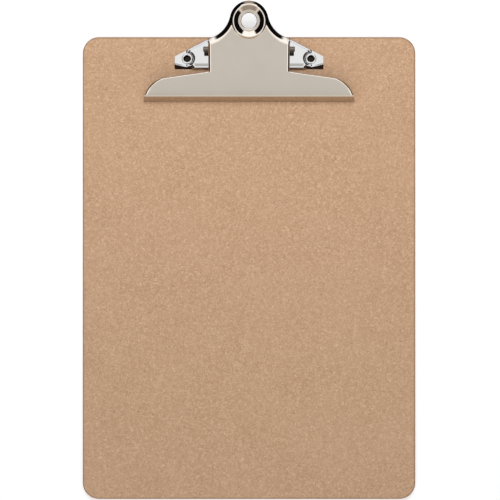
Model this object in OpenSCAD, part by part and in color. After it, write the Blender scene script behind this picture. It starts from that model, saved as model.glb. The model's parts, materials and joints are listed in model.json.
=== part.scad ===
// Hardboard clipboard with a sprung steel butterfly clip.
// The origin is the middle of the board's back face. +X is across the board,
// +Y is along it towards the clip, and +Z is out of its writing face. Millimetres.

/* [Board] */
// Width of the board
board_w = 228.6; // [200:0.1:260]
// Length of the board
board_l = 317.5; // [250:0.1:360]
// Thickness of the hardboard
board_t = 3.2; // [3:0.1:4]
// Radius of the board's four corners
corner_r = 11; // [6:0.5:16]

/* [Clip] */
// Thickness of the clip's sheet steel
sheet = 1; // [0.8:0.1:1.1]
// Width of the clamping lip at its gripping edge
lip_w = 145; // [144:0.1:150]
// Height of the lever's fold above the writing face
lip_h = 7.2; // [7.1:0.1:7.5]
// Distance from the board's top edge down to the lever's fold
fold_drop = 42.2; // [41.5:0.05:43]
// Angle between the lever's plate and the board when the clip is closed
lever_tilt = 14; // [13.5:0.1:14.5]
// Width of the lever's body between the lip and the neck
body_w = 55; // [54:0.1:56]
// Radius of the thumb tab round the hanging hole
tab_r = 13; // [12.6:0.1:13.4]
// Radius of the hanging hole
hang_r = 5.2; // [4.5:0.1:6.5]

/* [Base plate] */
// Width of the base plate across its wings
base_w = 102; // [98:0.5:104]
// Height of the base plate's pressed-up middle
pan_h = 3; // [2.6:0.1:3.1]
// Distance between the two rivets
rivet_gap = 85; // [84:0.5:86]
// Distance from the board's top edge down to the rivets
rivet_drop = 15.1; // [15:0.1:15.4]

/* [Hinge] */
// Radius of the hinge pin
pin_r = 1.75; // [1.5:0.05:1.8]
// Length of the hinge pin
pin_l = 62; // [58:0.5:64]
// Diameter of the spring wire
wire_d = 1.8; // [1.4:0.1:1.8]
// Turns in each spring
turns = 5; // [3:1:5]

/* [Hidden] */
$fn = 64;
eps = 0.01;               // overlap that makes a cut break through

hardboard = "#be9b7f";
lever_steel = "#c9c5be";
bright_steel = "#dcdcda";

top_y = board_l / 2;      // the board's top edge

// Base plate outline, in plan: a straight front edge, square ends and a slanted rear edge at each wing
base_front = top_y - 22.25;
base_end_y = top_y - 13.35;
base_rear = top_y - 1.95;
base_shoulder = 29.1;      // where the slanted rear edge begins, from the middle
wing_end = 12;            // length of each wing's end, where the front is one long slope
slant = atan2(base_rear - base_end_y, base_w / 2 - base_shoulder);
ramp_run = 3.9;           // run of the front slope that is seen at each wing's end
rear_run = 1.5;           // run of the slope down to the board at the rear

// Rivets and the seats pressed down for them
rivet_y = top_y - rivet_drop;
seat_r = 5;
seat_front = base_front + ramp_run;
shank_r = 2.6;
bore_r = 2.1;
clinch_r = 3.6;
clinch_h = 0.9;
head_r = 4.5;
head_t = 0.9;
head_recess = 0.1;        // how far the head is drawn in below the back face
hole_play = 0.1;

// Lever, in its own plane: u runs from the fold towards the tab, w is out of the plate
fold_y = top_y - fold_drop;
notch_u = 16.7;
wing_x = 57.2;
wing_u = 12.6;
wing_end_r = 16.9;
fold_half = lip_w / 2 - 1.2;
tab_u = 49.9;
neck_r = 19.6;
neck_x = 31.7;
neck_u = tab_u + sqrt(pow(tab_r + neck_r, 2) - neck_x * neck_x);
neck_tangent = atan2(neck_u - tab_u, neck_x);
neck_end = 180 + acos((neck_x - body_w / 2) / neck_r);
shoulder_u = neck_u + neck_r * sin(neck_end);
rim_h = 4;                // depth of the rolled rim round the neck and the tab

// The lip runs from the fold down to the writing face, which it clears by a sheet of paper
paper = 0.1;
lip_run = 2.25;
lip_tip_r = sheet / 2;

// Hinge: the pin lies under the plate, as far down as the coils need
pin_w = -5.6;
pin_y = top_y - 10.45;
pin_u = (pin_y - fold_y + pin_w * sin(lever_tilt)) / cos(lever_tilt);
pin_z = board_t + lip_h + pin_u * sin(lever_tilt) + pin_w * cos(lever_tilt);
turning_play = 0.05;
ear_x = body_w / 2 - 2 * sheet - 0.5;   // inner face of each ear
ear_r = 4.1;
lobe_r = 5.4;

// Springs: close-wound coils that lie between the ears
coil_r = pin_r + 0.5 + wire_d / 2;
pitch = wire_d + 0.1;
coil_x = 4;               // the inner end of each coil, from the middle
wire_sides = 8;
steps_per_turn = 16;
upper_leg = 9.5;
lower_leg = 8.2;
leg_gap = 0.04;           // clearance at each leg's tip

// Hanging hole, as a section: a raised bead, a funnel down to a ledge, and a collar
bead_x = 10.1;
bead_r = 2;
bead_w = -1;
ledge_r = 7.6;
ledge_w = -1.6;
collar_w = -6.2;

// ---------- helpers ----------

function arc(centre, r, from, to, n = 16) =
    [for (i = [0:n]) let (a = from + (to - from) * i / n) centre + r * [cos(a), sin(a)]];

// Centre of the arc of radius r that runs anticlockwise from a to b
function arc_centre(a, b, r) =
    let (m = (a + b) / 2, d = b - a, h = sqrt(r * r - (d * d) / 4))
    m + h * [-d[1], d[0]] / norm(d);

function mirrored(points) = [for (i = [len(points) - 1:-1:0]) [-points[i][0], points[i][1]]];

// A solid whose (y, z) section is drawn in 2D, w wide and centred on x
module across(w) {
    rotate([90, 0, 90]) translate([0, 0, -w / 2]) linear_extrude(w) children();
}

// ---------- board ----------

module board() {
    w = board_w - 2 * corner_r;
    l = board_l - 2 * corner_r;
    color(hardboard) difference() {
        union() {
            translate([-board_w / 2, -l / 2, 0]) cube([board_w, l, board_t]);
            translate([-w / 2, -board_l / 2, 0]) cube([w, board_l, board_t]);
            for (x = [-w / 2, w / 2], y = [-l / 2, l / 2])
                translate([x, y, 0]) cylinder(r = corner_r, h = board_t);
        }
        for (side = [-1, 1]) translate([side * rivet_gap / 2, rivet_y, 0]) {
            translate([0, 0, -1]) cylinder(r = shank_r + hole_play, h = board_t + 2);
            translate([0, 0, -1]) cylinder(r = head_r + hole_play, h = 1 + head_recess + head_t);
        }
    }
}

// ---------- base plate ----------

// Plan of the base plate, with every edge moved in by d
function base_plan(d) =
    let (x = base_w / 2 - d,
         end_y = base_end_y - d * (1 - sin(slant)) / cos(slant),
         shoulder = base_shoulder - d * (1 - cos(slant)) / sin(slant))
    [[-x, base_front + d], [x, base_front + d], [x, end_y],
     [shoulder, base_rear - d], [-shoulder, base_rear - d], [-x, end_y]];

// The pressed-up middle as a solid block, with every face moved in by d
module base_block(d) {
    h = pan_h - d;
    wall = base_front + d;
    difference() {
        linear_extrude(h) polygon(base_plan(d));
        // front edge: a gentle fall and a steep drop in the middle, one long slope at each wing's end
        across(base_w - 2 * wing_end) polygon([[wall - 1, -eps], [wall, -eps], [wall + 0.4, h - 1.2],
            [wall + 1.5, h - 0.4], [wall + ramp_run, h], [wall + ramp_run, h + 1], [wall - 1, h + 1]]);
        for (side = [-1, 1]) translate([side * base_w / 2, 0, 0])
            across(2 * wing_end) polygon([[wall - 1, -eps], [wall, -eps], [wall + ramp_run, h],
                [wall + ramp_run, h + 1], [wall - 1, h + 1]]);
        // rear edge: a slope along the back and along each slanted edge
        rear_slope([0, base_rear - d, h], 0, 70);
        for (side = [-1, 1])
            rear_slope([side * (base_w / 2 - d * sin(slant)), base_end_y - d * cos(slant), h],
                -side * slant, 60);
    }
}

// A long wedge that takes a slope off a top edge through the point p, at the angle a in plan
module rear_slope(p, a, l) {
    translate(p) rotate([0, 0, a])
        across(l) polygon([[-rear_run, eps], [1, -(1 + rear_run) * 1.2], [1, 2], [-rear_run, 2]]);
}

// The seat round one rivet, open to the wing's end and to the rear, grown by d
module seat_2d(d) {
    translate([rivet_gap / 2, rivet_y]) circle(r = seat_r + d);
    polygon([[rivet_gap / 2 - d, rivet_y], [rivet_gap / 2 - d, seat_front - 1.5 - d],
             [base_w / 2 + 2, seat_front + 0.2 - d],
             [base_w / 2 + 2, top_y], [rivet_gap / 2 - d, top_y]]);
}

// An ear that holds the pin, bent up from the middle of the plate
module ear() {
    translate([ear_x + sheet / 2, 0, 0]) across(sheet) difference() {
        union() {
            translate([pin_y, pin_z]) circle(r = ear_r);
            translate([pin_y - ear_r, board_t + pan_h - sheet])
                square([2 * ear_r, pin_z - board_t - pan_h + sheet]);
        }
        translate([pin_y, pin_z]) circle(r = pin_r);
    }
}

module base_plate() {
    color(bright_steel) union() {
        translate([0, 0, board_t]) difference() {
            base_block(0);
            difference() {
                translate([0, 0, -eps]) base_block(sheet);
                for (side = [0, 1]) mirror([side, 0, 0])
                    translate([0, 0, -1]) linear_extrude(pan_h + 2) seat_2d(sheet);
            }
            for (side = [0, 1]) mirror([side, 0, 0]) {
                translate([0, 0, sheet]) linear_extrude(pan_h) seat_2d(0);
                translate([rivet_gap / 2, rivet_y, -1])
                    cylinder(r = shank_r + hole_play, h = pan_h + 2);
                // the window that the ear was bent out of
                translate([ear_x - 10, pin_y - ear_r - 0.2, -1])
                    cube([10, 2 * ear_r + 0.4, pan_h + 2]);
            }
        }
        for (side = [0, 1]) mirror([side, 0, 0]) ear();
    }
}

// ---------- lever ----------

// Puts what is drawn in the lever's own plane in its place on the board
module in_lever_frame() {
    translate([0, fold_y, board_t + lip_h]) rotate([lever_tilt, 0, 0]) children();
}

// Right side of the neck and half the tab, from the shoulder up, with the edge moved in by d
function neck_side(d) = concat(
    arc([neck_x, neck_u], neck_r + d, 180 + acos((neck_x - body_w / 2 + d) / (neck_r + d)),
        180 + neck_tangent, 14),
    arc([0, tab_u], tab_r - d, neck_tangent, 90, 14));

wing_a = [fold_half, 0];
wing_b = [wing_x, wing_u];
wing_c = arc_centre(wing_a, wing_b, wing_end_r);
wing_from = atan2(wing_a[1] - wing_c[1], wing_a[0] - wing_c[0]);
wing_to = atan2(wing_b[1] - wing_c[1], wing_b[0] - wing_c[0]);
lever_side = concat(arc(wing_c, wing_end_r, wing_from, wing_to, 12),
    [[body_w / 2, notch_u]], neck_side(0));

module lever_plate() {
    translate([0, 0, -sheet]) linear_extrude(sheet) difference() {
        polygon(concat(lever_side, mirrored(lever_side)));
        translate([0, tab_u]) circle(r = bead_x);
    }
}

// The lip: the plate's front edge folded down to the writing face
module lever_lip() {
    run = lip_run - lip_tip_r;
    drop = lip_h - paper - lip_tip_r;
    middle = [-run * cos(lever_tilt) - drop * sin(lever_tilt),
              run * sin(lever_tilt) - drop * cos(lever_tilt)];
    heading = atan2(middle[1], middle[0]) - asin(lip_tip_r / norm(middle));
    inward = [-sin(heading), cos(heading)];
    across(lip_w) {
        polygon([[0, 0], middle - lip_tip_r * inward, middle + lip_tip_r * inward,
                 [0.9, -sheet], [0.9, 0]]);
        translate(middle) circle(r = lip_tip_r);
    }
}

// One side flange, with a round lobe for the pin
module side_flange() {
    translate([body_w / 2 - sheet / 2, 0, 0]) across(sheet) difference() {
        union() {
            translate([pin_u, pin_w]) circle(r = lobe_r);
            polygon([[notch_u, 0], [notch_u, -5.6], [notch_u + 1.4, -7], [pin_u - 3, pin_w - 4.4],
                     [pin_u + 3.2, pin_w - 4.2], [shoulder_u, -rim_h], [shoulder_u, 0]]);
        }
        translate([pin_u, pin_w]) circle(r = pin_r + turning_play);
    }
}

// The rim turned down round the neck and the tab
module neck_rim() {
    translate([0, 0, -rim_h]) linear_extrude(rim_h) difference() {
        polygon(concat(neck_side(0), mirrored(neck_side(0))));
        polygon(concat([[body_w / 2 - sheet, shoulder_u - 2]], neck_side(sheet),
            mirrored(neck_side(sheet)), [[sheet - body_w / 2, shoulder_u - 2]]));
    }
}

// The pressed eye of the hanging hole
module hang_eye() {
    foot = asin(-bead_w / bead_r);
    outer = arc([bead_x, bead_w], bead_r, foot, 165, 12);
    inner = arc([bead_x, bead_w], bead_r - sheet, 165, 90, 6);
    translate([0, tab_u, 0]) rotate_extrude($fn = 96) polygon(concat(outer,
        [[ledge_r, ledge_w], [hang_r + 0.3, ledge_w - 0.2], [hang_r, ledge_w - 0.6],
         [hang_r, collar_w], [hang_r + sheet, collar_w],
         [hang_r + sheet, ledge_w - sheet], [ledge_r + 0.9, ledge_w - sheet]],
        inner, [[bead_x, -sheet], [bead_x + bead_r, -sheet]]));
}

module lever() {
    color(lever_steel) in_lever_frame() {
        lever_plate();
        lever_lip();
        for (side = [0, 1]) mirror([side, 0, 0]) side_flange();
        neck_rim();
        hang_eye();
    }
}

// ---------- hinge ----------

module hinge_pin() {
    chamfer = 0.4;
    half = pin_l / 2;
    color(bright_steel) translate([0, pin_y, pin_z]) rotate([0, 90, 0]) rotate_extrude()
        polygon([[0, -half], [pin_r - chamfer, -half], [pin_r, chamfer - half],
                 [pin_r, half - chamfer], [pin_r - chamfer, half], [0, half]]);
}

// The wire's centreline for the right-hand spring, in (x, y, z) from the pin's axis. It comes in along
// the base plate at the coil's outer end, winds inwards round the pin and leaves under the lever.
upper_drop = asin((-sheet - pin_w - coil_r - wire_d / 2 - leg_gap) / upper_leg);
lower_drop = asin((pin_z - board_t - pan_h - coil_r - wire_d / 2 - leg_gap) / lower_leg);
first_angle = -90 - lower_drop;
last_angle = -270 + lever_tilt + upper_drop - 360 * turns;
spring_steps = steps_per_turn * turns + steps_per_turn / 2;

function spring_point(i) =
    let (s = i / spring_steps, a = first_angle + (last_angle - first_angle) * s)
    [coil_x + wire_d / 2 + pitch * turns * (1 - s), coil_r * cos(a), coil_r * sin(a)];

function leg_tip(p, angle, l) = p + l * [0, cos(angle), sin(angle)];

spring_line = let (coil = [for (i = [0:spring_steps]) spring_point(i)]) concat(
    [leg_tip(coil[0], -lower_drop, lower_leg)], coil,
    [leg_tip(coil[spring_steps], lever_tilt + upper_drop, upper_leg)]);

// Sweeps a round wire along a line that never runs far along x, so that x serves as its upright
module wire_sweep(line, d) {
    last = len(line) - 1;
    function heading(i) = let (t = line[min(i + 1, last)] - line[max(i - 1, 0)]) t / norm(t);
    function side(i) = let (s = cross(heading(i), [1, 0, 0])) s / norm(s);
    points = [for (i = [0:last], k = [0:wire_sides - 1])
        let (a = 360 * k / wire_sides, s = side(i), up = cross(s, heading(i)))
        line[i] + d / 2 * (cos(a) * s + sin(a) * up)];
    walls = [for (i = [0:last - 1], k = [0:wire_sides - 1])
        let (n = (k + 1) % wire_sides, a = i * wire_sides)
        [a + k, a + n, a + wire_sides + n, a + wire_sides + k]];
    caps = [[for (k = [wire_sides - 1:-1:0]) k], [for (k = [0:wire_sides - 1]) last * wire_sides + k]];
    polyhedron(points, concat(walls, caps));
}

module spring_right() {
    color(bright_steel) translate([0, pin_y, pin_z]) wire_sweep(spring_line, wire_d);
}

module spring_left() {
    mirror([1, 0, 0]) spring_right();
}

// ---------- rivets ----------

// A semi-tubular rivet: its head is on the back, and its hollow end is rolled over the base plate
module rivet() {
    head_z = head_recess;
    pad_z = board_t + sheet;
    color(bright_steel) translate([rivet_gap / 2, rivet_y, 0]) rotate_extrude() polygon([
        [0, head_z], [head_r - 0.5, head_z], [head_r, head_z + 0.4], [head_r, head_z + head_t],
        [shank_r, head_z + head_t], [shank_r, pad_z], [clinch_r, pad_z],
        [clinch_r, pad_z + clinch_h / 2], [clinch_r - 0.3, pad_z + clinch_h - 0.1],
        [clinch_r - 0.7, pad_z + clinch_h], [bore_r + 0.4, pad_z + clinch_h - 0.2],
        [bore_r, pad_z + clinch_h - 0.8], [bore_r, head_z + 2], [0, head_z + 1.4]]);
}

module rivet_right() {
    rivet();
}

module rivet_left() {
    mirror([1, 0, 0]) rivet();
}

board();
base_plate();
lever();
hinge_pin();
spring_left();
spring_right();
rivet_left();
rivet_right();
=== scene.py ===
# %% [markdown]
# # A clipboard with a sprung steel clip
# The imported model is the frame: it says where each piece is and how it moves. This
# notebook makes a finer mesh and a finish for every piece, in the same place, so it
# starts by loading that frame and noting how big the object is.

# %% Load the frame
import json
import math

import bmesh
import bpy
from mathutils import Matrix, Vector


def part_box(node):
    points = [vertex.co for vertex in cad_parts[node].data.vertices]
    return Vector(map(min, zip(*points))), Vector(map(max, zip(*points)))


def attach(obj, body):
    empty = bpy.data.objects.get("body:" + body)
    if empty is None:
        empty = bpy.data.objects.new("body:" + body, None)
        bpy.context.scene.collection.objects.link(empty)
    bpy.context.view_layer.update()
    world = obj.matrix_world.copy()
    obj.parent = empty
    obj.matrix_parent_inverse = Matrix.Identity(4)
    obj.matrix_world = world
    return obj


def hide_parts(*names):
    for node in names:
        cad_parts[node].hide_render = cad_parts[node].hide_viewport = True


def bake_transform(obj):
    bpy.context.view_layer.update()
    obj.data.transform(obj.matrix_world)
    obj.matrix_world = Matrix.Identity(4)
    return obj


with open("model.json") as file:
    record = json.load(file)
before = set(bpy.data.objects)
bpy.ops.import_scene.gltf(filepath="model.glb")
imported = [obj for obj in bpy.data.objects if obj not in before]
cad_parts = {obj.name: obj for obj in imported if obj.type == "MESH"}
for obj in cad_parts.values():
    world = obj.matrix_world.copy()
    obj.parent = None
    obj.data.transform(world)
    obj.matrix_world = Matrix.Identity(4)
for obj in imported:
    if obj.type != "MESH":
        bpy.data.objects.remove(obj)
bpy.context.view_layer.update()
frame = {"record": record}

# %% [markdown]
# ## Working in millimetres
# Sheet metal is easier to think about in millimetres, so each mesh is built that way and
# scaled once, when it becomes an object. The frame's boxes give the sizes and places.

# %% Measures taken from the frame
MM = 0.001


def box_mm(node):
    low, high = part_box(node)
    return low / MM, high / MM


board_low, board_high = box_mm("board")
board_w, board_l, board_t = board_high - board_low
rivet_low, rivet_high = box_mm("rivet_right")
rivet_x, rivet_y = ((rivet_low + rivet_high) / 2).xy
pin_low, pin_high = box_mm("hinge_pin")
pin_middle = (pin_low + pin_high) / 2
pin_r = (pin_high.z - pin_low.z) / 2
top_y = board_high.y
print(f"board {board_w:.1f} x {board_l:.1f} x {board_t:.1f} mm, rivets at x {rivet_x:.2f}")

# %% [markdown]
# ## Small helpers
# Three helpers are used all through. One turns a finished bmesh into an object that rides
# on its body, one gives the points of an arc, and one spins a profile round an axis. The
# weighted normals keep a large flat face looking flat beside a small bend, which matters
# a great deal on chrome because every reflection shows where a surface points.

# %% From bmesh to object
BODY = "board_assembly"


def make_piece(name, bm, material, node, body=BODY, sharp=35):
    bmesh.ops.remove_doubles(bm, verts=bm.verts, dist=0.002)
    bmesh.ops.dissolve_degenerate(bm, edges=bm.edges, dist=0.001)
    bmesh.ops.scale(bm, vec=(MM, MM, MM), verts=bm.verts)
    mesh = bpy.data.meshes.new(name)
    bm.to_mesh(mesh)
    bm.free()
    mesh.materials.append(material)
    mesh.shade_smooth()
    mesh.set_sharp_from_angle(angle=math.radians(sharp))
    piece = bpy.data.objects.new(name, mesh)
    bpy.context.scene.collection.objects.link(piece)
    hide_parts(node)
    if body:
        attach(piece, body)
    print(f"{name}: {len(mesh.polygons)} faces")
    return piece


def weigh_normals(piece):
    weighted = piece.modifiers.new("even normals", "WEIGHTED_NORMAL")
    weighted.keep_sharp = True
    weighted.weight = 80


# %% [markdown]
# The next helpers draw. A turned part is a section, a chain of points and edges in the
# (x, z) plane, which the spin operator carries round the z axis and welds to its start.

# %% Arcs and spun profiles
def arc(centre, radius, start, end, steps):
    turn = [math.radians(start + (end - start) * i / steps) for i in range(steps + 1)]
    return [(centre[0] + radius * math.cos(a), centre[1] + radius * math.sin(a)) for a in turn]


def chain(bm, points):
    verts = [bm.verts.new(point) for point in points]
    return verts, [bm.edges.new(pair) for pair in zip(verts, verts[1:])]


def spin_profile(bm, profile, steps=96):
    verts, edges = chain(bm, [(r, 0, z) for r, z in profile])
    bmesh.ops.spin(bm, geom=verts + edges, cent=(0, 0, 0), axis=(0, 0, 1), dvec=(0, 0, 0),
                   angle=math.tau, steps=steps, use_merge=True)
    bmesh.ops.remove_doubles(bm, verts=bm.verts, dist=0.001)


def moved(bm, verts, x, y, z):
    bmesh.ops.translate(bm, vec=(x, y, z), verts=verts)


# %% [markdown]
# ## Finishes
# A finish is a small graph of nodes. The patterns read Object coordinates, which are in
# metres, so a noise scale of 1000 makes marks about a millimetre wide. A tiny class keeps
# the graph readable: it adds a node, sets its values and joins whatever it is given.

# %% A short way to write node graphs
class Graph:
    def __init__(self, tree):
        self.tree = tree

    def add(self, kind, inputs=None, **settings):
        node = self.tree.nodes.new(kind)
        for key, value in settings.items():
            setattr(node, key, value)
        for key, value in (inputs or {}).items():
            if isinstance(value, bpy.types.NodeSocket):
                self.tree.links.new(value, node.inputs[key])
            else:
                node.inputs[key].default_value = value
        return node

    def math(self, operation, a, b=0.0):
        return self.add("ShaderNodeMath", {0: a, 1: b}, operation=operation).outputs[0]

    def noise(self, at, scale, detail=2.0, roughness=0.5):
        inputs = {"Vector": at, "Scale": scale, "Detail": detail, "Roughness": roughness}
        return self.add("ShaderNodeTexNoise", inputs).outputs["Fac"]

    def ramp(self, value, low, high, to_low=0.0, to_high=1.0):
        inputs = {"Value": value, "From Min": low, "From Max": high,
                  "To Min": to_low, "To Max": to_high}
        node = self.add("ShaderNodeMapRange", inputs, interpolation_type="SMOOTHSTEP")
        return node.outputs["Result"]

    def blend(self, amount, a, b):
        """A colour that goes from a to b; 0, 6 and 7 are the Mix node's sockets for colours."""
        return self.add("ShaderNodeMix", {0: amount, 6: a, 7: b}, data_type="RGBA").outputs[2]


def new_finish(name):
    material = bpy.data.materials.new(name)
    material.use_nodes = True
    graph = Graph(material.node_tree)
    shader = material.node_tree.nodes["Principled BSDF"]
    at = graph.add("ShaderNodeTexCoord").outputs["Object"]
    return material, graph, shader, at


def linear(red, green, blue):
    """A colour given in screen values from 0 to 255, as the linear light that shaders use."""
    def channel(c):
        c /= 255
        return c / 12.92 if c <= 0.04045 else ((c + 0.055) / 1.055) ** 2.4
    return (channel(red), channel(green), channel(blue), 1.0)


# %% [markdown]
# ### Hardboard
# Hardboard is wood fibre pressed into a sheet, so its smooth face is an even brown made of
# short, tangled fibres. Three sizes of noise give the fibres, thresholded noise gives the
# stray dark and pale flecks, and the sawn rim is a little darker than the face.

# %% Hardboard
board_round = 11.0
dark_fibre, pale_fibre = linear(184, 145, 112), linear(224, 187, 154)
fleece_tone, cloud_tone = linear(190, 150, 116), linear(212, 174, 142)
dark_fleck, pale_fleck = linear(128, 92, 66), linear(236, 204, 172)
sawn_tone = linear(128, 92, 64)


def hardboard_finish():
    material, graph, shader, at = new_finish("hardboard")
    fibre = graph.noise(at, 1100, 2.0, 0.6)
    fleece = graph.noise(at, 420, 3.0, 0.6)
    cloud = graph.noise(at, 22, 3.0, 0.55)
    tone = graph.blend(graph.ramp(fibre, 0.25, 0.75), dark_fibre, pale_fibre)
    tone = graph.blend(graph.ramp(fleece, 0.3, 0.7, 0.0, 0.6), tone, fleece_tone)
    tone = graph.blend(graph.ramp(cloud, 0.35, 0.65, 0.0, 0.2), tone, cloud_tone)
    specks = graph.noise(at, 900, 0.0, 0.5)
    sparse = graph.noise(at, 160, 1.0, 0.5)
    dark = graph.math("MULTIPLY", graph.ramp(specks, 0.70, 0.80), graph.ramp(sparse, 0.48, 0.58))
    tone = graph.blend(graph.math("MULTIPLY", dark, 0.6), tone, dark_fleck)
    shifted = graph.add("ShaderNodeMapping", {"Vector": at, "Location": (0.3, 0.7, 0.2)}).outputs[0]
    pale = graph.ramp(graph.noise(shifted, 800, 0.0, 0.5), 0.70, 0.80, 0.0, 0.5)
    tone = graph.blend(pale, tone, pale_fleck)
    tone = graph.blend(rim_shade(graph, at), tone, sawn_tone)
    graph.tree.links.new(tone, shader.inputs["Base Color"])
    rough = graph.ramp(fleece, 0.3, 0.7, 0.46, 0.6)
    graph.tree.links.new(rough, shader.inputs["Roughness"])
    bump = graph.add("ShaderNodeBump", {"Height": fibre, "Strength": 0.25, "Distance": 0.00006})
    graph.tree.links.new(bump.outputs["Normal"], shader.inputs["Normal"])
    shader.inputs["Specular IOR Level"].default_value = 0.35
    return material


def rim_shade(graph, at):
    """How dark the sawn edge makes a point, from the distance to the board's rounded outline."""
    parts = graph.add("ShaderNodeSeparateXYZ", {0: at}).outputs
    sides = []
    for axis, half in ((0, board_w / 2), (1, board_l / 2)):
        inner = (half - board_round) * MM
        beyond = graph.math("SUBTRACT", graph.math("ABSOLUTE", parts[axis]), inner)
        sides.append(graph.math("MAXIMUM", beyond, 0.0))
    squares = [graph.math("MULTIPLY", side, side) for side in sides]
    out = graph.math("SQRT", graph.math("ADD", squares[0], squares[1]))
    return graph.ramp(out, (board_round - 1.3) * MM, (board_round - 0.2) * MM, 0.0, 0.75)


hardboard = hardboard_finish()


# %% [markdown]
# ### Plated steel
# The clip is pressed from sheet steel and plated with nickel and chrome. Plating is a
# mirror, but never a perfect one: polishing leaves it slightly cloudy in patches, so the
# roughness and the tint wander a little, and a very low bump waves the reflections. Inside
# the rivets' bores the colour is painted nearly black: painted shade for the dark hollow.

# %% Plated steel
cloudy_tint = 0.965
# painted shade: the near-black colour painted inside the rivets' bores, where the hollow is dark
painted_bore_shade = (0.014, 0.010, 0.007, 1.0)


def vector_math(graph, operation, a, b=(0, 0, 0), output=0):
    node = graph.add("ShaderNodeVectorMath", {0: a, 1: b}, operation=operation)
    return node.outputs[output]


def inside_bore(graph, at, bore_r):
    """Where the painted shade goes: 1 inside the bore of either rivet and 0 outside it, by distance
    from the rivet's axis.
    """
    folded = vector_math(graph, "ABSOLUTE", at)
    off = vector_math(graph, "SUBTRACT", folded, (rivet_x * MM, rivet_y * MM, 0))
    flat = vector_math(graph, "MULTIPLY", off, (1, 1, 0))
    radius = vector_math(graph, "LENGTH", flat, output="Value")
    return graph.ramp(radius, (bore_r + 0.12) * MM, (bore_r - 0.02) * MM)


def plated_finish(name, tint, rough_low, rough_high, wave, bore_r=0):
    material, graph, shader, at = new_finish(name)
    cloud = graph.noise(at, 60, 3.0, 0.55)
    grain = graph.noise(at, 1400, 2.0, 0.6)
    darker = tuple(cloudy_tint * c for c in tint[:3]) + (1.0,)
    tone = graph.blend(graph.ramp(cloud, 0.35, 0.65), darker, tint)
    if bore_r:
        # paint the bore nearly black, as painted shade inside the hollow
        tone = graph.blend(inside_bore(graph, at, bore_r), tone, painted_bore_shade)
    graph.tree.links.new(tone, shader.inputs["Base Color"])
    mixed = graph.math("ADD", graph.math("MULTIPLY", cloud, 0.7),
                       graph.math("MULTIPLY", grain, 0.3))
    rough = graph.ramp(mixed, 0.35, 0.65, rough_low, rough_high)
    graph.tree.links.new(rough, shader.inputs["Roughness"])
    bump = graph.add("ShaderNodeBump", {"Height": cloud, "Strength": 1.0, "Distance": wave})
    graph.tree.links.new(bump.outputs["Normal"], shader.inputs["Normal"])
    shader.inputs["Metallic"].default_value = 1.0
    return material


rivet_bore_r = 2.25
chrome_plate = plated_finish("chrome_base_plate", (0.42, 0.42, 0.417, 1.0), 0.04, 0.09, 0.000008)
chrome_lever = plated_finish("nickel_lever", (0.54, 0.49, 0.43, 1.0), 0.05, 0.10, 0.000006)
# the pin is coloured a near-black brown, far darker than the plated parts
pin_steel = plated_finish("pin_near_black", (0.13, 0.11, 0.09, 1.0), 0.16, 0.26, 0.00001)
rivet_steel = plated_finish("rivet_plating", (0.45, 0.45, 0.445, 1.0), 0.10, 0.18, 0.00001,
                            rivet_bore_r)
spring_steel = plated_finish("spring_wire", (0.62, 0.61, 0.58, 1.0), 0.18, 0.30, 0.00001)
print("finishes:", [m.name for m in bpy.data.materials if m.use_nodes])


# %% [markdown]
# ## The board
# A board is a flat sheet with round corners, so one square face is stretched to size and
# its four corners are bevelled as vertices. Extruding it gives the thickness, and a small
# bevel eases the sawn rim. The rivets need stepped holes: each face is filled again round
# two circles, and bridges between circles make the walls of the holes.

# %% Board blank
eased = 0.35


def board_blank():
    bm = bmesh.new()
    bmesh.ops.create_grid(bm, x_segments=1, y_segments=1, size=0.5)
    bmesh.ops.scale(bm, vec=(board_w, board_l, 1), verts=bm.verts)
    bmesh.ops.bevel(bm, geom=bm.verts[:], offset=board_round, offset_type="OFFSET",
                    affect="VERTICES", segments=20, profile=0.5, material=-1)
    raised = bmesh.ops.extrude_face_region(bm, geom=bm.faces[:])["geom"]
    moved(bm, [v for v in raised if isinstance(v, bmesh.types.BMVert)], 0, 0, board_t)
    bmesh.ops.recalc_face_normals(bm, faces=bm.faces)
    rims = [e for e in bm.edges if abs(e.verts[0].co.z - e.verts[1].co.z) < 0.001]
    bmesh.ops.bevel(bm, geom=rims, offset=eased, offset_type="OFFSET", affect="EDGES",
                    segments=3, profile=0.5, material=-1)
    return bm


# %% Holes for the rivets
shank_hole_r = 2.7
head_hole_r = 4.6
head_hole_depth = 1.0


def ring(bm, radius, x, y, z, segments=64):
    verts = bmesh.ops.create_circle(bm, cap_ends=False, radius=radius, segments=segments)["verts"]
    moved(bm, verts, x, y, z)
    return list({e for v in verts for e in v.link_edges})


def open_face(bm, z, radius):
    """Fills the flat face at height z again round a hole at each rivet. Returns the rings."""
    flat = next(f for f in bm.faces
                if len(f.verts) > 20 and abs(f.calc_center_median().z - z) < 0.01)
    outline = flat.edges[:]
    bmesh.ops.delete(bm, geom=[flat], context="FACES_ONLY")
    rings = [ring(bm, radius, side * rivet_x, rivet_y, z) for side in (-1, 1)]
    bmesh.ops.triangle_fill(bm, edges=outline + rings[0] + rings[1], use_beauty=True)
    return rings


def make_board():
    bm = board_blank()
    tops = open_face(bm, board_t, shank_hole_r)
    bottoms = open_face(bm, 0, head_hole_r)
    for side, top, bottom in zip((-1, 1), tops, bottoms):
        seat = ring(bm, head_hole_r, side * rivet_x, rivet_y, head_hole_depth)
        step = ring(bm, shank_hole_r, side * rivet_x, rivet_y, head_hole_depth)
        for pair in ((bottom, seat), (seat, step), (step, top)):
            bmesh.ops.bridge_loops(bm, edges=pair[0] + pair[1])
    bmesh.ops.recalc_face_normals(bm, faces=bm.faces)
    return make_piece("clipboard_board", bm, hardboard, "board")


weigh_normals(make_board())

# %% [markdown]
# ## The base plate
# The base plate is one pressing: a raised middle with a rolled border, a seat pressed down
# round each rivet, and two ears bent up to hold the pin. A press forms a flat sheet, so
# this does too. A grid follows the outline, extruding it gives an upper and a lower skin,
# and a function that plays the part of the press tool lifts each point to its height.

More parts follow.
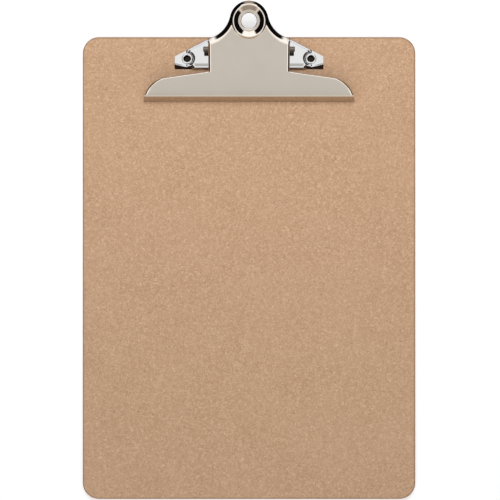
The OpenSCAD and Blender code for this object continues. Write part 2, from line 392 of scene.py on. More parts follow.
# %% Outline of the base plate
plate_low, plate_high = box_mm("base_plate")
plate_half = plate_high.x
plate_front = plate_low.y
plate_rear = plate_high.y
plate_end_y = top_y - 13.35
shoulder_x = 29.1
sheet = 1.0
pan_h = 3.0
slant = math.atan2(plate_rear - plate_end_y, plate_half - shoulder_x)
print(f"base plate {2 * plate_half:.1f} mm wide, ends slanted {math.degrees(slant):.1f} degrees")


def rear_line(x):
    """The y of the plate's rear edge at x."""
    return plate_rear - max(0.0, abs(x) - shoulder_x) * math.tan(slant)


def smooth(t):
    t = min(1.0, max(0.0, t))
    return t * t * (3 - 2 * t)


def quarter(t):
    """A quarter-round: 0 for t at 0 or below, falling to 1 with an upright end at t = 1."""
    t = min(1.0, max(0.0, t))
    return 1 - math.sqrt(1 - t * t)


# %% [markdown]
# The press function adds up what the tool does at a point. Round the outline the sheet
# turns down, and a little inside it a shallow step leaves a border. Towards each end the
# front falls in one long slope instead. Last, the seat round a rivet pulls the sheet down
# to the board, behind a wall that is part circle and part straight line.

# %% Height of the pressed sheet
edge_round = 0.9
border_drop = 0.6
front_border = (1.5, 3.7)
rear_border = (1.3, 2.1)
ramp_run = 3.9
ramp_start, ramp_fade = rivet_x - 5.5, 3
seat_r = 4.6
seat_wall = 2.2
seat_step = 1.1
seat_front = 3.75
seat_lean = math.radians(14)


def seat_rise(x, y, d):
    """How far up the wall round a rivet's seat a point is: -0.5 at its foot, 0.5 at its top."""
    circle = math.hypot(x - rivet_x, y - rivet_y) - seat_r
    ahead = plate_front + seat_front - y + (x - plate_half) * math.tan(seat_lean)
    line = ahead * math.cos(seat_lean)
    return min((circle - d) / seat_wall, (max(line, rivet_x - x) - d) / seat_step)


def bordered(edge, border, top):
    """Height at a distance in from the edge: a quarter-round, a flat border and a step up."""
    ramp = smooth((border[1] - edge) / (border[1] - border[0]))
    return top - border_drop * ramp - (top - border_drop) * quarter(1 - edge / edge_round)


def plate_height(x, y, d):
    """Height above the board of the outer skin, or of the skin that lies d inside it."""
    x = abs(x)
    top = pan_h - d
    front = y - plate_front - d
    rear = min(plate_rear - y, (rear_line(x) - y) * math.cos(slant)) - d
    if min(front, rear) <= 0:
        return 0.0
    border = bordered(front, front_border, top)
    ramp = top * min(1.0, front / ramp_run)
    sloped = smooth((x - ramp_start) / ramp_fade)
    height = min(border * (1 - sloped) + ramp * sloped, bordered(rear, rear_border, top))
    seated = smooth(0.5 - seat_rise(x, y, d))
    return max(0.0, height + (min(height, sheet - d) - height) * seated)


# %% [markdown]
# The grid is cut before it is pressed, as a real blank is. The windows that the ears are
# bent out of lose their faces, and so do the rivets' holes, whose ragged rims are then
# pulled out to a true circle. Extruding the flat blank makes the second skin and every
# wall between the two at once, and only then does each skin get its height.

# %% The pressed sheet
curve_rows = 6
front_rows, front_step = 10, 0.28
rear_rows, rear_step = 6, 0.27
middle_rows = 36
plate_columns = 340
plate_hole_r = 2.62
window_w, window_half = 10, 4.3
thinnest = 0.05


def plate_rows(x):
    """The y of each grid row at x, close together where the sheet is bent."""
    curve = [edge_round * (1 - math.cos(math.pi * i / (2 * curve_rows)))
             for i in range(curve_rows + 1)]
    front = curve + [edge_round + front_step * i for i in range(1, front_rows + 1)]
    rear = curve + [edge_round + rear_step * i for i in range(1, rear_rows + 1)]
    lean = math.cos(slant) if abs(x) > shoulder_x else 1.0
    low = [plate_front + step for step in front]
    high = [rear_line(x) - step / lean for step in reversed(rear)]
    gap = high[0] - low[-1]
    middle = [low[-1] + gap * i / middle_rows for i in range(1, middle_rows)]
    return low + middle + high


def in_window(x, y, ear_x):
    return ear_x - window_w < abs(x) < ear_x and abs(y - pin_middle.y) < window_half


def rivet_reach(vert):
    return math.hypot(abs(vert.co.x) - rivet_x, vert.co.y - rivet_y)


def pressed_plate(ear_x):
    rows = len(plate_rows(0)) - 1
    bm = bmesh.new()
    bmesh.ops.create_grid(bm, x_segments=plate_columns, y_segments=rows, size=0.5)
    for vert in bm.verts:
        x = 2 * plate_half * vert.co.x
        vert.co = (x, plate_rows(x)[round((vert.co.y + 0.5) * rows)], 0)
    windows = [f for f in bm.faces if in_window(*f.calc_center_median().xy, ear_x)]
    drilled = [f for f in bm.faces if all(rivet_reach(v) < plate_hole_r for v in f.verts)]
    bmesh.ops.delete(bm, geom=windows + drilled, context="FACES")
    for vert in bm.verts:
        if vert.is_boundary and rivet_reach(vert) < plate_hole_r:
            centre = Vector((math.copysign(rivet_x, vert.co.x), rivet_y, 0))
            vert.co = centre + plate_hole_r * (vert.co - centre).normalized()
    lower = bm.verts[:]
    raised = bmesh.ops.extrude_face_region(bm, geom=bm.faces[:])["geom"]
    upper = [v for v in raised if isinstance(v, bmesh.types.BMVert)]
    for vert in upper:
        vert.co.z = max(thinnest, plate_height(vert.co.x, vert.co.y, 0))
    for vert in lower:
        vert.co.z = plate_height(vert.co.x, vert.co.y, sheet)
    moved(bm, bm.verts, 0, 0, board_t)
    return bm


# %% [markdown]
# Each ear is a flat tongue with a round top, so its outline is a half circle on two
# straight sides. The outline and the circle of the pin's hole are filled together, the
# face is extruded by the sheet's thickness, and a small bevel breaks its edges.

# %% Ears
ear_r = 4.1
ear_root = 0.5
ear_play = 0.02
body_half = 27.5
ear_x = body_half - 2 * sheet - 0.5
broken_edge = 0.12
corner_angle = 1.2


def side_ring(bm, radius, x, y, z):
    """A circle of edges that faces along x."""
    verts = bmesh.ops.create_circle(bm, cap_ends=False, radius=radius, segments=64)["verts"]
    bmesh.ops.rotate(bm, cent=(0, 0, 0), matrix=Matrix.Rotation(math.pi / 2, 3, "Y"), verts=verts)
    moved(bm, verts, x, y, z)
    return list({e for v in verts for e in v.link_edges})


def flat_shape(bm, outline, hole, hole_r, depth):
    """A flat plate in the (y, z) plane with one round hole, depth thick along x."""
    verts, edges = chain(bm, [(0, y, z) for y, z in outline])
    edges.append(bm.edges.new((verts[-1], verts[0])))
    edges += side_ring(bm, hole_r, 0, *hole)
    filled = bmesh.ops.triangle_fill(bm, edges=edges, use_beauty=True)["geom"]
    faces = [f for f in filled if isinstance(f, bmesh.types.BMFace)]
    raised = bmesh.ops.extrude_face_region(bm, geom=faces)["geom"]
    moved(bm, [v for v in raised if isinstance(v, bmesh.types.BMVert)], depth, 0, 0)


def make_ear(side):
    ear = bmesh.new()
    foot = board_t + pan_h - ear_root
    outline = arc(pin_middle.yz, ear_r, 0, 180, 32)
    outline += [(pin_middle.y - ear_r, foot), (pin_middle.y + ear_r, foot)]
    flat_shape(ear, outline, pin_middle.yz, pin_r + ear_play, sheet)
    bmesh.ops.recalc_face_normals(ear, faces=ear.faces)
    corners = [e for e in ear.edges
               if len(e.link_faces) == 2 and e.calc_face_angle() > corner_angle]
    bmesh.ops.bevel(ear, geom=corners, offset=broken_edge, offset_type="OFFSET", affect="EDGES",
                    segments=2, profile=0.5, material=-1)
    moved(ear, ear.verts, ear_x, 0, 0)
    bmesh.ops.scale(ear, vec=(side, 1, 1), verts=ear.verts)
    bmesh.ops.recalc_face_normals(ear, faces=ear.faces)
    return ear


def add_to(bm, other):
    """Copies another bmesh into this one."""
    spare = bpy.data.meshes.new("spare")
    other.to_mesh(spare)
    other.free()
    bm.from_mesh(spare)
    bpy.data.meshes.remove(spare)


def make_base_plate():
    bm = pressed_plate(ear_x)
    bmesh.ops.recalc_face_normals(bm, faces=bm.faces)
    for side in (-1, 1):
        add_to(bm, make_ear(side))
    return make_piece("clip_base_plate", bm, chrome_plate, "base_plate", sharp=50)


weigh_normals(make_base_plate())

# %% [markdown]
# ## The lever's own frame
# The lever lies at a slant, so it is made flat and then turned. Its own coordinates are x
# across, u from the fold towards the tab, and w out of the plate. The hanging eye's mount
# in the record gives the slant, and the eye lies a known way along the plate.

# %% From the lever's frame to the board's
eye_mount = next(m for m in frame["record"]["mounts"] if m["name"] == "hang_hole")
tilt = math.atan2(-eye_mount["axis"][1], eye_mount["axis"][2])
hang_r = eye_mount["dims"]["r_mm"]
collar_w = -6.2
eye_wall = eye_mount["dims"]["length_mm"]
tab_u = 49.9
along = Vector((0, math.cos(tilt), math.sin(tilt)))
outward = Vector((0, -math.sin(tilt), math.cos(tilt)))
fold = Vector(eye_mount["pos_m"]) / MM - along * tab_u - outward * (collar_w + eye_wall / 2)
lever_place = Matrix.Translation(fold) @ Matrix.Rotation(tilt, 4, "X")
pin_u = (pin_middle - fold).dot(along)
pin_w = (pin_middle - fold).dot(outward)
print(f"lever slants {math.degrees(tilt):.1f} degrees, pin at u {pin_u:.2f}, w {pin_w:.2f}")

# %% [markdown]
# ## The lever's outline and its press tool
# The tab is an arc about the eye, and the neck is an arc on each side that runs into it.
# One function again stands for the press tool. It rolls the sheet over along the neck and
# the tab, bends it down along the body's sides, and raises the bead round the eye. Where
# two shapes meet, a smooth maximum leaves the small fillet that real pressings have.

# %% Outline of the lever
tab_r = 12.99
neck_r = 19.6
neck_x = 31.7
neck_u = tab_u + math.sqrt((tab_r + neck_r) ** 2 - neck_x ** 2)
neck_top = math.atan2(neck_u - tab_u, neck_x)
neck_bottom = math.acos((neck_x - body_half) / neck_r)
shoulder_u = neck_u - neck_r * math.sin(neck_bottom)
notch_u = 16.7
wing = (57.2, 12.6)
wing_arc_r = 16.9
fold_half = 71.3
print(f"lever {2 * fold_half:.1f} mm wide at the fold, shoulder at u {shoulder_u:.2f}")

# %% [markdown]
# A bend is given as a list of slopes, in degrees, at distances across it, because slopes
# are what reflections show: each slope mirrors one height of the sky. The heights follow
# by adding the slopes up. The roll at the edge starts very gently, keeps one steep slope
# and then turns upright. The bead falls away from the eye's crest in the same way.

# %% Depth of each bend
rim_depth = 4.0
side_bend = 2.0
crest_r = 10.45
crest_w = 0.9
crest_round = 0.95
roll_slopes = [(0, 0), (2.5, 9), (3.4, 48), (5.2, 48), (5.5, 76)]
bead_slopes = [(0, 0), (0.8, 55), (9, 55)]
roll_w = roll_slopes[-1][0]
bend_fillet = 0.8
bead_fillet = 0.4


def profile_drop(slopes, step=0.01):
    """A function giving how far a surface has fallen at distance t, from its slope in degrees."""
    drops = [0.0]
    for i in range(round(slopes[-1][0] / step)):
        t = (i + 0.5) * step
        k = max(n for n, knot in enumerate(slopes[:-1]) if knot[0] <= t)
        (t0, a0), (t1, a1) = slopes[k], slopes[k + 1]
        slope = math.radians(a0 + (a1 - a0) * (t - t0) / (t1 - t0))
        drops.append(drops[-1] + step * math.tan(slope))

    def drop(t):
        at = min(max(t / step, 0.0), len(drops) - 1.001)
        k = int(at)
        return drops[k] + (drops[k + 1] - drops[k]) * (at - k)
    return drop


roll_drop = profile_drop(roll_slopes)
bead_drop = profile_drop(bead_slopes)


def inset_from_edge(x, u):
    """Distance in from the outline of the neck and the tab."""
    if math.atan2(u - tab_u, x) > neck_top:
        return tab_r - math.hypot(x, u - tab_u)
    return math.hypot(x - neck_x, u - neck_u) - neck_r


def fillet_max(a, b, size):
    """The larger of a and b, with a fillet where they cross."""
    overlap = max(size - abs(a - b), 0) / size
    return max(a, b) + overlap * overlap * size / 4


def press(x, u):
    """w of the lever's outer skin at (x, u)."""
    x = abs(x)
    roll = roll_drop(roll_w - inset_from_edge(x, u))
    bend = side_bend * quarter(1 - (body_half - x) / side_bend)
    shallow = min(roll, bend)
    down = max(roll, bend)
    if shallow > 0.001:
        down = fillet_max(roll, bend, min(bend_fillet, shallow))
    bead = crest_w - bead_drop(math.hypot(x, u - tab_u) - crest_r)
    return fillet_max(-down, bead, bead_fillet)


# %% [markdown]
# ### The eye
# Everything about the eye is round, so its section is drawn once and spun: up the collar,
# over a lip to a small ledge, up the funnel and over the bead. The rings outside the crest
# then take their height from the press function, because there the eye meets the plate.
# The funnel stays flatter than 45 degrees, since a steeper one mirrors the viewer.

# %% Spin the eye
eye_step = 2
ledge_w = -1.6
lip_round = 0.8
turn_in = 0.4
funnel = 40
bead_rings = 16


def eye_section():
    """(radius, w) from the collar's lower end to the tab's outline."""
    lean = math.radians(funnel)
    knee = crest_r - crest_round * math.sin(lean)
    knee_w = crest_w - crest_round * (1 - math.cos(lean))
    foot_w = ledge_w + turn_in * (1 - math.cos(lean))
    foot = knee - (knee_w - foot_w) / math.tan(lean)
    section = [(hang_r, collar_w), (hang_r, ledge_w - lip_round - 1)]
    section += arc((hang_r + lip_round, ledge_w - lip_round), lip_round, 180, 90, 8)
    section += arc((foot - turn_in * math.sin(lean), ledge_w + turn_in), turn_in,
                   270, 270 + funnel, 5)
    section += arc((crest_r, crest_w - crest_round), crest_round, 90 + funnel, 90, 8)
    section += [(crest_r + (tab_r - crest_r) * math.sin(math.pi * i / (2 * bead_rings)), 0)
                for i in range(1, bead_rings + 1)]
    return section


def spin_eye(bm):
    spin_profile(bm, eye_section(), 360 // eye_step)
    for vert in bm.verts:
        if vert.co.xy.length > crest_r + 0.001:
            vert.co.z = press(vert.co.x, vert.co.y + tab_u)
    moved(bm, bm.verts, 0, tab_u, 0)


# %% [markdown]
# ### The plate in patches
# The rest of the plate is laid as grids that share their edges: the neck, which fans out
# from the eye, the body below it, the wings, and the fold with the lip. Each grid's rows
# crowd together where the sheet bends, so that the bends are smooth and the flats stay
# simple.

# %% A grid that follows a rule
def patch(bm, columns, rows, place):
    """Adds a grid and puts the vertex of column i and row k at place(i, k)."""
    grid = bmesh.ops.create_grid(bm, x_segments=columns, y_segments=rows, size=0.5)["verts"]
    for vert in grid:
        i = round((vert.co.x + 0.5) * columns)
        k = round((vert.co.y + 0.5) * rows)
        vert.co = place(i, k)


# %% [markdown]
# The neck's columns end on the spokes of the eye, two degrees apart, so that the two
# meshes weld. They start on the neck's arc, and the last three on the body's side below
# the shoulder, which keeps them clear of the round tab. Where a column would be shorter
# than a hair, it closes up into the tab's outline.

# %% Neck
first_angle = eye_step * round(math.degrees(neck_top) / eye_step)
neck_columns = (first_angle + 90) // eye_step
side_columns = 3
foot_u = min(shoulder_u, tab_u - tab_r) - 0.8
near_rows = [0, 0.08, 0.2, 0.35] + [0.35 + 0.3 * k for k in range(1, 18)]
flat_rows = 32
neck_rows = len(near_rows) + flat_rows - 1
hair = 0.06


def neck_reach(span):
    """Distances from the outline at which the neck's rows lie, for a column of this length."""
    shrink = min(1.0, span / (near_rows[-1] + 1.5))
    near = [shrink * row for row in near_rows]
    return near + [near[-1] + (span - near[-1]) * k / flat_rows for k in range(1, flat_rows + 1)]


def neck_edge(i):
    """Where column i starts: on the neck's arc, or for the last few on the body's side."""
    arc_columns = neck_columns - side_columns
    if i > arc_columns:
        share = (i - arc_columns) / side_columns
        return Vector((body_half, shoulder_u + (foot_u - shoulder_u) * share))
    turn = neck_top + (neck_bottom - neck_top) * i / arc_columns
    return Vector((neck_x - neck_r * math.cos(turn), neck_u - neck_r * math.sin(turn)))


def neck_point(i, k):
    circle = math.radians(first_angle - eye_step * i)
    inner = Vector((tab_r * math.cos(circle), tab_u + tab_r * math.sin(circle)))
    outer = neck_edge(i)
    span = (inner - outer).length
    if i == 0 or span < hair:
        return inner
    return outer + (inner - outer) * neck_reach(span)[k] / span


def add_neck(bm, side):
    def place(i, k):
        x, u = neck_point(i, k)
        return (side * x, u, press(x, u))
    patch(bm, neck_columns, neck_rows, place)


# %% [markdown]
# The body hangs from the neck. Its rows are close together below the neck, where the
# roll and the bead fade out, and wide apart on the flat.

# %% Body
body_top = [neck_point(neck_columns, k) for k in range(neck_rows + 1)]
fade_rows, fade_step = 18, 0.34
plain_rows = 6
body_drops = [fade_step * j for j in range(fade_rows + 1)]
plain = foot_u - notch_u - body_drops[-1]
body_drops += [fade_step * fade_rows + plain * j / plain_rows for j in range(1, plain_rows + 1)]


def add_body(bm, side):
    def place(i, k):
        x, top = body_top[i]
        u = top - (top - notch_u) * body_drops[k] / body_drops[-1]
        return (side * x, u, press(x, u))
    patch(bm, len(body_top) - 1, len(body_drops) - 1, place)


# %% [markdown]
# Each wing runs straight out from the notch and ends in an arc. Its cut edge is turned
# down a little, more so round the end, which gives it the bright line and the dark one
# beside it. The grid stops at the start of the fold.

# %% Wings
fold_round = 2.0
lip_drop = math.radians(56.6)
fold_flat = fold_round * math.tan(lip_drop / 2)


def wing_centre():
    start, end = Vector((fold_half, 0)), Vector(wing)
    chord = end - start
    rise = math.sqrt(wing_arc_r ** 2 - chord.length_squared / 4)
    return (start + end) / 2 + rise * Vector((-chord.y, chord.x)).normalized()


wing_c = wing_centre()
bend_half = wing_c.x + math.sqrt(wing_arc_r ** 2 - (fold_flat - wing_c.y) ** 2)


def wing_top(x):
    """u of the plate's rear edge at x, ahead of the body."""
    if x <= body_half:
        return notch_u
    if x <= wing[0]:
        return notch_u + (wing[1] - notch_u) * (x - body_half) / (wing[0] - body_half)
    return max(fold_flat, wing_c.y + math.sqrt(wing_arc_r ** 2 - (x - wing_c.x) ** 2))


wing_steps = 24
plate_xs = [point.x for point in reversed(body_top)]
plate_xs += [body_half + (wing[0] - body_half) * i / wing_steps for i in range(1, wing_steps + 1)]
plate_xs += [wing[0] + (bend_half - wing[0]) * math.sin(math.pi * i / (2 * wing_steps))
             for i in range(1, wing_steps + 1)]


curl_slopes = [(0, 0), (0.3, 8), (1.0, 28), (1.08, 58), (1.7, 62)]
curl_w = curl_slopes[-1][0]
curl_drop = profile_drop(curl_slopes)
wing_rows = [0, 0.12, 0.25, 0.35, 0.45, 0.6, 0.75, 1.0, 1.4, 1.9]
wing_flat_rows = 3
least_curl = 0.42
curl_growth, curl_lead = 10, 2
curl_fade = 1.5


def wing_curl(x, u):
    """How far the sheet turns down at the wing's cut edge."""
    lean = math.atan2(notch_u - wing[1], wing[0] - body_half)
    line = (wing_top(min(x, wing[0])) - u) * math.cos(lean)
    edge = line if x < wing[0] else wing_arc_r - math.hypot(x - wing_c.x, u - wing_c.y)
    size = least_curl + (1 - least_curl) * smooth((x - wing[0] + curl_lead) / curl_growth)
    return size * curl_drop(curl_w - edge / size) * smooth((x - body_half) / curl_fade)


def add_wing(bm, side):
    def place(i, k):
        x = plate_xs[i]
        span = wing_top(x) - fold_flat
        shrink = min(1.0, span / (wing_rows[-1] + 1))
        drops = [shrink * row for row in wing_rows]
        drops += [drops[-1] + (span - drops[-1]) * j / wing_flat_rows
                  for j in range(1, wing_flat_rows + 1)]
        u = wing_top(x) - drops[k]
        return (side * x, u, -wing_curl(x, u))
    patch(bm, len(plate_xs) - 1, len(wing_rows) + wing_flat_rows - 1, place)


# %% [markdown]
# The lip is the same sheet carried round the fold, so its grid has the wings' columns. It
# gets a little wider on its way down to the paper.

# %% Fold and lip
lip_half = 72.5
lip_length = 7.02
lip_start = fold_half + 0.2
fold_rows = 10
lip_rows = 4


def lip_section():
    """(u, w, half-width) down the fold and the lip."""
    bend = arc((fold_flat, -fold_round), fold_round, 90, 90 + math.degrees(lip_drop), fold_rows)
    end = bend[-1]
    tip = (-lip_length * math.cos(lip_drop), -lip_length * math.sin(lip_drop))
    section = [(u, w, bend_half + (lip_start - bend_half) * j / fold_rows)
               for j, (u, w) in enumerate(bend)]
    for j in range(1, lip_rows + 1):
        u, w = (end[n] + (tip[n] - end[n]) * j / lip_rows for n in (0, 1))
        section.append((u, w, lip_start + (lip_half - lip_start) * j / lip_rows))
    return section


def add_lip(bm, side):
    section = lip_section()

    def place(i, k):
        u, w, half = section[k]
        return (side * plate_xs[i] * half / bend_half, u, w)
    patch(bm, len(plate_xs) - 1, len(section) - 1, place)


# %% [markdown]
# ### The rims
# The rolled edge ends in a short upright rim, which is the outline's own edges extruded
# down. Each side of the body has a deeper flange with a round lobe for the pin. It is
# flat, so its outline and the pin's hole are simply filled together.

# %% Rim and side flanges
lobe_r = 5.4
turning_hole_r = pin_r + 0.05
flange_toe = ((1.6, -7.0), (0.5, -6.6), (0.0, -5.6))


def boundary(bm):
    return [e for e in bm.edges if len(e.link_faces) == 1]


def add_rim(bm):
    def on_outline(vert):
        x, u = abs(vert.co.x), vert.co.y
        return u > shoulder_u - 0.01 and abs(inset_from_edge(x, u)) < 0.01
    edges = [e for e in boundary(bm) if all(on_outline(v) for v in e.verts)]
    made = bmesh.ops.extrude_edge_only(bm, edges=edges)["geom"]
    for vert in [v for v in made if isinstance(v, bmesh.types.BMVert)]:
        vert.co.z = -rim_depth


def add_side_flange(bm, side):
    x = side * body_half

    def on_side(vert):
        return abs(vert.co.x - x) < 0.001 and notch_u - 0.001 < vert.co.y < shoulder_u + 0.01
    top = [e for e in boundary(bm) if all(on_side(v) and v.co.z < -0.5 for v in e.verts)]
    along_top = sorted({v for e in top for v in e.verts}, key=lambda v: (v.co.y, -v.co.z))
    outline = arc((pin_u, pin_w), lobe_r, -35, -125, 24)
    outline += [(notch_u + behind, w) for behind, w in flange_toe]
    verts = [bm.verts.new((x, u, w)) for u, w in outline]
    path = [along_top[-1]] + verts + [along_top[0]]
    edges = top + [bm.edges.new(pair) for pair in zip(path, path[1:])]
    edges += side_ring(bm, turning_hole_r, x, pin_u, pin_w)
    bmesh.ops.triangle_fill(bm, edges=edges, use_beauty=True)


# %% [markdown]
# ### Thickness
# All of that is one skin. Its normals are made to point out before the Solidify modifier
# gives it the sheet's thickness, because the thickness grows away from the normals. A
# Bevel then breaks the cut edges, which is what catches the light along a real pressing.

# %% Build the lever
def face_outwards(bm):
    """Turns the skin's normals the same way, with those of the flat plate upwards."""
    bmesh.ops.recalc_face_normals(bm, faces=bm.faces)
    flat = [f for f in bm.faces if abs(f.normal.z) > 0.999]
    if sum(f.calc_area() * f.normal.z for f in flat) < 0:
        bmesh.ops.reverse_faces(bm, faces=bm.faces)


def make_lever():
    bm = bmesh.new()
    spin_eye(bm)
    for side in (-1, 1):
        add_neck(bm, side)
        add_body(bm, side)
        add_wing(bm, side)
        add_lip(bm, side)
    bmesh.ops.remove_doubles(bm, verts=bm.verts, dist=0.002)
    bmesh.ops.dissolve_degenerate(bm, edges=bm.edges, dist=0.001)
    add_rim(bm)
    for side in (-1, 1):
        add_side_flange(bm, side)
    bmesh.ops.remove_doubles(bm, verts=bm.verts, dist=0.002)
    face_outwards(bm)
    bmesh.ops.transform(bm, matrix=lever_place, verts=bm.verts)
    piece = make_piece("clip_lever", bm, chrome_lever, "lever", "lever")
    thickness = piece.modifiers.new("sheet thickness", "SOLIDIFY")
    thickness.thickness = sheet * MM
    thickness.offset = -1
    thickness.use_quality_normals = True
    edge = piece.modifiers.new("broken edges", "BEVEL")
    edge.width = broken_edge * MM
    edge.segments = 2
    edge.limit_method = "ANGLE"
    edge.angle_limit = math.radians(60)
    return piece


weigh_normals(make_lever())


# %% [markdown]
# ## Pin and rivets
# Turned and headed parts are round, so each is a section spun about its own axis. The
# rivets are the hollow kind: the end of the tube is rolled outwards over the plate.

# %% Hinge pin
def make_pin():
    half = (pin_high.x - pin_low.x) / 2
    chamfer = 0.4
    section = [(0, -half)] + arc((pin_r - chamfer, chamfer - half), chamfer, -90, 0, 4)
    section += arc((pin_r - chamfer, half - chamfer), chamfer, 0, 90, 4) + [(0, half)]
    bm = bmesh.new()
    spin_profile(bm, section, 64)
    bmesh.ops.rotate(bm, cent=(0, 0, 0), matrix=Matrix.Rotation(math.pi / 2, 3, "Y"),
                     verts=bm.verts)
    moved(bm, bm.verts, *pin_middle)
    bmesh.ops.recalc_face_normals(bm, faces=bm.faces)
    return make_piece("clip_hinge_pin", bm, pin_steel, "hinge_pin")


weigh_normals(make_pin())

# %% [markdown]
# A semi-tubular rivet has a flat head under the board and a hollow end, rolled outwards
# over the base plate. One section, spun round, draws all of it.

# %% Rivets
head_r = (rivet_high.x - rivet_low.x) / 2
head_round = 0.4
head_t = 0.9
shank_r = 2.6
rolled_r = 3.6


def rivet_section():
    """(radius, z) from the middle of the head, over the roll, to the middle of the bore."""
    low = rivet_low.z
    seat = board_t + sheet
    middle = (rolled_r + rivet_bore_r + 0.1) / 2
    rise = 0.6 * (rivet_high.z - seat) - 0.2
    half = rolled_r - middle
    section = [(0, low)] + arc((head_r - head_round, low + head_round), head_round, -90, 0, 5)
    section += [(head_r, head_hole_depth), (shank_r, head_hole_depth)]
    section += [(shank_r, seat), (rolled_r - 0.1, seat)]
    section += [(middle + half * c, seat + 0.2 + rise * s) for c, s in arc((0, 0), 1, 0, 180, 14)]
    section += [(rivet_bore_r, seat - 0.3), (rivet_bore_r, low + head_t + 0.5)]
    return section + [(rivet_bore_r - 0.3, low + head_t + 0.2), (0, low + head_t)]


def make_rivet(name, side):
    bm = bmesh.new()
    spin_profile(bm, rivet_section(), 64)
    moved(bm, bm.verts, side * rivet_x, rivet_y, 0)
    bmesh.ops.recalc_face_normals(bm, faces=bm.faces)
    return make_piece("clip_" + name, bm, rivet_steel, name)


for rivet_name, rivet_side in (("rivet_left", -1), ("rivet_right", 1)):
    weigh_normals(make_rivet(rivet_name, rivet_side))

# %% [markdown]
# ## Springs
# A torsion spring is a wire wound round the pin with a straight leg at each end. A circle
# is the wire's section, and a spin that also moves it along the axis winds the coil. The
# legs are the end circles extruded. On the real clip one leg stays on the base plate and
# the other follows the lever; here each spring is built in place and rides on no body.

# %% Wind a spring
wire_r = 0.9
coil_r = 3.15
coil_turns = 5
coil_pitch = 1.9
coil_inner_x = 4.0
steps_per_turn = 30
upper_leg = 9.5
lower_leg = 8.2
leg_gap = 0.04
upper_drop = math.asin((-sheet - pin_w - coil_r - wire_r - leg_gap) / upper_leg)
lower_drop = math.asin((pin_middle.z - board_t - pan_h - coil_r - wire_r - leg_gap) / lower_leg)


def draw_leg(bm, edges, step):
    made = bmesh.ops.extrude_edge_only(bm, edges=edges)["geom"]
    verts = [v for v in made if isinstance(v, bmesh.types.BMVert)]
    moved(bm, verts, *step)


def wind_spring(side):
    start = -math.pi / 2 - lower_drop
    turn = 2 * math.pi * coil_turns + math.pi - tilt - upper_drop - lower_drop
    steps = steps_per_turn * coil_turns
    bm = bmesh.new()
    wire = bmesh.ops.create_circle(bm, cap_ends=False, radius=wire_r, segments=20)["verts"]
    bmesh.ops.rotate(bm, cent=(0, 0, 0), matrix=Matrix.Rotation(start + math.pi, 3, "X"),
                     verts=wire)
    outer_x = coil_inner_x + wire_r + coil_pitch * coil_turns
    moved(bm, wire, outer_x, coil_r * math.cos(start), coil_r * math.sin(start))
    edges = list({e for v in wire for e in v.link_edges})
    advance = (-coil_pitch * coil_turns / steps, 0, 0)
    wound = bmesh.ops.spin(bm, geom=wire + edges, cent=(0, 0, 0), axis=(-1, 0, 0), angle=turn,
                           steps=steps, dvec=advance, use_merge=False)["geom_last"]
    draw_leg(bm, edges, (0, lower_leg * math.cos(lower_drop), -lower_leg * math.sin(lower_drop)))
    rise = tilt + upper_drop
    last = [e for e in wound if isinstance(e, bmesh.types.BMEdge)]
    draw_leg(bm, last, (0, upper_leg * math.cos(rise), upper_leg * math.sin(rise)))
    bmesh.ops.holes_fill(bm, edges=boundary(bm), sides=0)
    ends = [e for f in bm.faces if len(f.verts) > 4 for e in f.edges]
    bmesh.ops.bevel(bm, geom=ends, offset=0.15, offset_type="OFFSET", affect="EDGES",
                    segments=2, profile=0.5, material=-1)
    moved(bm, bm.verts, *(pin_middle * Vector((0, 1, 1))))
    bmesh.ops.scale(bm, vec=(side, 1, 1), verts=bm.verts)
    bmesh.ops.recalc_face_normals(bm, faces=bm.faces)
    return bm


# %% [markdown]
# Each spring is made as one piece that rides on no body, and its place is baked into
# the mesh.

# %% Both springs, built in place
for spring_name, spring_side in (("spring_left", -1), ("spring_right", 1)):
    spring = make_piece("clip_" + spring_name, wind_spring(spring_side), spring_steel,
                        spring_name, body=None)
    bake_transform(spring)

# %% [markdown]
# ## Camera, floor and light
# The clipboard is seen square on from above, by a camera about 60 cm away.

# %% Camera
camera_data = bpy.data.cameras.new("camera")
camera_data.lens = 62.84
camera_data.sensor_width = 36.0
camera = bpy.data.objects.new("camera", camera_data)
camera.location = (0.00065, 0.0124, 0.6032)
bpy.context.scene.collection.objects.link(camera)
bpy.context.scene.camera = camera
print("camera at", [round(c, 3) for c in camera.location])

# %% [markdown]
# The floor is pale for the camera and for diffuse light. Chrome sees another floor: the
# Light Path node tells the rays that come from a mirror apart. Those find it warm in
# front of the clip, and dark to the sides behind it.


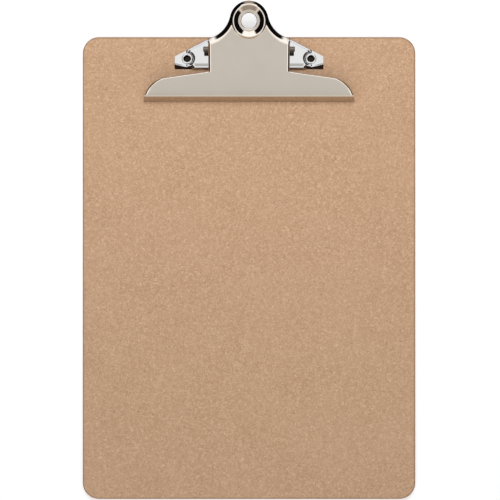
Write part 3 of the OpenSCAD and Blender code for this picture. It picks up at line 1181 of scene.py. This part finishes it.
# %% Floor
def make_floor():
    bm = bmesh.new()
    bmesh.ops.create_grid(bm, x_segments=1, y_segments=1, size=3.0)
    mesh = bpy.data.meshes.new("floor")
    bm.to_mesh(mesh)
    bm.free()
    floor = bpy.data.objects.new("floor", mesh)
    bpy.context.scene.collection.objects.link(floor)
    floor.location.z = -0.0003
    material = bpy.data.materials.new("floor")
    material.use_nodes = True
    graph = Graph(material.node_tree)
    shader = material.node_tree.nodes["Principled BSDF"]
    shader.inputs["Roughness"].default_value = 0.9
    shader.inputs["Specular IOR Level"].default_value = 0.0
    pale, dark = (0.85, 0.85, 0.85, 1), (0.006, 0.006, 0.006, 1)
    warm, warm_behind = (0.9, 0.8, 0.72, 1), (0.6, 0.52, 0.46, 1)
    ray = graph.add("ShaderNodeLightPath")
    place = graph.add("ShaderNodeTexCoord").outputs["Object"]
    x, y, _ = graph.add("ShaderNodeSeparateXYZ", {0: place}).outputs
    behind = graph.ramp(y, 0.0, 0.1)
    aside = graph.math("MULTIPLY", graph.ramp(graph.math("ABSOLUTE", x), 0.03, 0.06), behind)
    mirrored = graph.blend(behind, warm, warm_behind)
    mirrored = graph.blend(aside, mirrored, dark)
    tone = graph.blend(ray.outputs["Is Glossy Ray"], pale, mirrored)
    graph.tree.links.new(tone, shader.inputs["Base Color"])
    shader.inputs["Emission Color"].default_value = (1, 1, 1, 1)
    lift = graph.math("MULTIPLY", ray.outputs["Is Camera Ray"], 0.38)
    graph.tree.links.new(lift, shader.inputs["Emission Strength"])
    mesh.materials.append(material)
    print("floor just below the board, at z", round(floor.location.z, 4))


make_floor()

# %% [markdown]
# Chrome is drawn by what it mirrors, so the sky is painted in bands. A direction's y is
# below zero towards the viewer's end of the board and above zero beyond its top edge, its
# x is to the side and its z is up. Each band is laid over the ones before it: the lever's
# slant mirrors the dim and lit bands, flat sheet the white one overhead, and bent edges
# the brown, grey and dark ones near the horizon. Diffuse rays see a plain front light.


# %% Studio sky
def studio_sky():
    world = bpy.data.worlds.new("studio")
    world.use_nodes = True
    bpy.context.scene.world = world
    graph = Graph(world.node_tree)
    background = world.node_tree.nodes["Background"]
    way = graph.add("ShaderNodeTexCoord").outputs["Generated"]
    x, y, z = graph.add("ShaderNodeSeparateXYZ", {0: way}).outputs
    warm, white, dark = (1.05, 1.045, 1.04, 1), (1.9, 1.9, 1.9, 1), (0.008, 0.007, 0.007, 1)
    grey, brown, cool = (0.45, 0.44, 0.43, 1), (0.95, 0.82, 0.70, 1), (1.95, 2.0, 2.1, 1)
    dim, lit = (0.88, 0.87, 0.86, 1), (1.15, 1.11, 1.06, 1)
    aside = graph.math("ABSOLUTE", x)
    flank = graph.math("ADD", aside, graph.ramp(y, -0.1, 0.1, -0.12, 0.10))
    bands = [(y, -0.298, -0.316, dim), (y, -0.36, -0.45, lit), (y, -0.16, 0.0, white),
             (aside, 0.18, 0.30, white), (y, 0.30, 0.45, cool), (y, 0.90, 0.99, grey),
             (y, -0.70, -0.85, brown), (flank, 0.50, 0.62, dark), (z, 0.0, -0.05, dark)]
    tone = warm
    for value, start, end, colour in bands:
        tone = graph.blend(graph.ramp(value, start, end), tone, colour)
    ray = graph.add("ShaderNodeLightPath")
    front = graph.blend(graph.ramp(y, -0.15, -0.45), (0.05, 0.05, 0.05, 1), (1.05, 1.05, 1.05, 1))
    tone = graph.blend(ray.outputs["Is Diffuse Ray"], tone, front)
    tone = graph.blend(ray.outputs["Is Camera Ray"], tone, (1, 1, 1, 1))
    graph.tree.links.new(tone, background.inputs["Color"])
    print("sky painted in", len(bands), "bands")


studio_sky()

# %% [markdown]
# Three lamps light the board itself: a large soft box beyond its top edge, and two small
# ones high above, which draw the thin shadows round the clip. Mirrors don't see them.


# %% Lamps
def soft_box(name, place, size, power):
    """A lamp of a size in metres and a power in watts, aimed at the clip."""
    light = bpy.data.lights.new(name, "AREA")
    light.shape = "RECTANGLE"
    light.size, light.size_y = size
    light.energy = power
    lamp = bpy.data.objects.new(name, light)
    lamp.location = place
    aim = Vector((0, 0.05, 0)) - Vector(place)
    lamp.rotation_mode = "QUATERNION"
    lamp.rotation_quaternion = aim.to_track_quat("-Z", "Y")
    lamp.visible_glossy = False
    bpy.context.scene.collection.objects.link(lamp)


soft_box("overhead_box", (0, 0.44, 0.60), (0.45, 0.3), 2.1)
soft_box("near_lamp", (0, 0.07, 0.95), (0.02, 0.02), 0.35)
soft_box("far_lamp", (0, 0.22, 0.95), (0.02, 0.02), 0.35)
bpy.context.scene.view_settings.view_transform = "Standard"
print(len(bpy.data.lights), "lamps")
